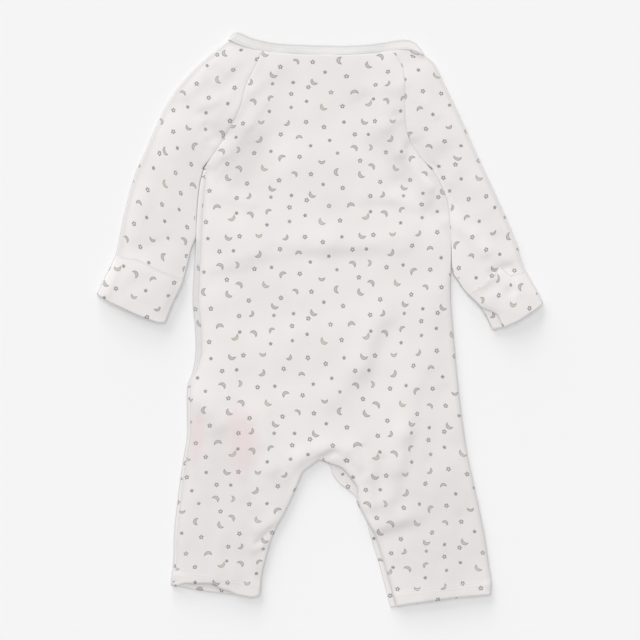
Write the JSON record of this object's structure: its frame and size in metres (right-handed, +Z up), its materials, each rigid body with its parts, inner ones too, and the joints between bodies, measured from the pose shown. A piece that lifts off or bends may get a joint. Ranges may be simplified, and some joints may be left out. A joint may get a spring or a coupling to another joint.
{
  "type": "footless sleepsuit",
  "caption": "Long-sleeved footless baby sleepsuit with raglan sleeves, fold-over mitts and an inner-leg opening, laid flat on its front with its back up.",
  "frame": {"origin": "centre of the laid-out suit in plan, on the surface that it lies on", "axes": "+Y from the ankles to the neck, +X to the right as seen from above, +Z up; the suit lies on its front with its back up"},
  "size_m": [0.384, 0.4949, 0.0072],
  "materials": {
    "jersey": "matte",
    "binding": "matte"
  },
  "bodies": {
    "root": {"back": "jersey", "front": "jersey", "leg_placket": "jersey", "left_sleeve": "jersey", "right_sleeve": "jersey", "left_mitt": "jersey", "right_mitt": "jersey", "neck_binding": "binding"}
  },
  "joints": []
}
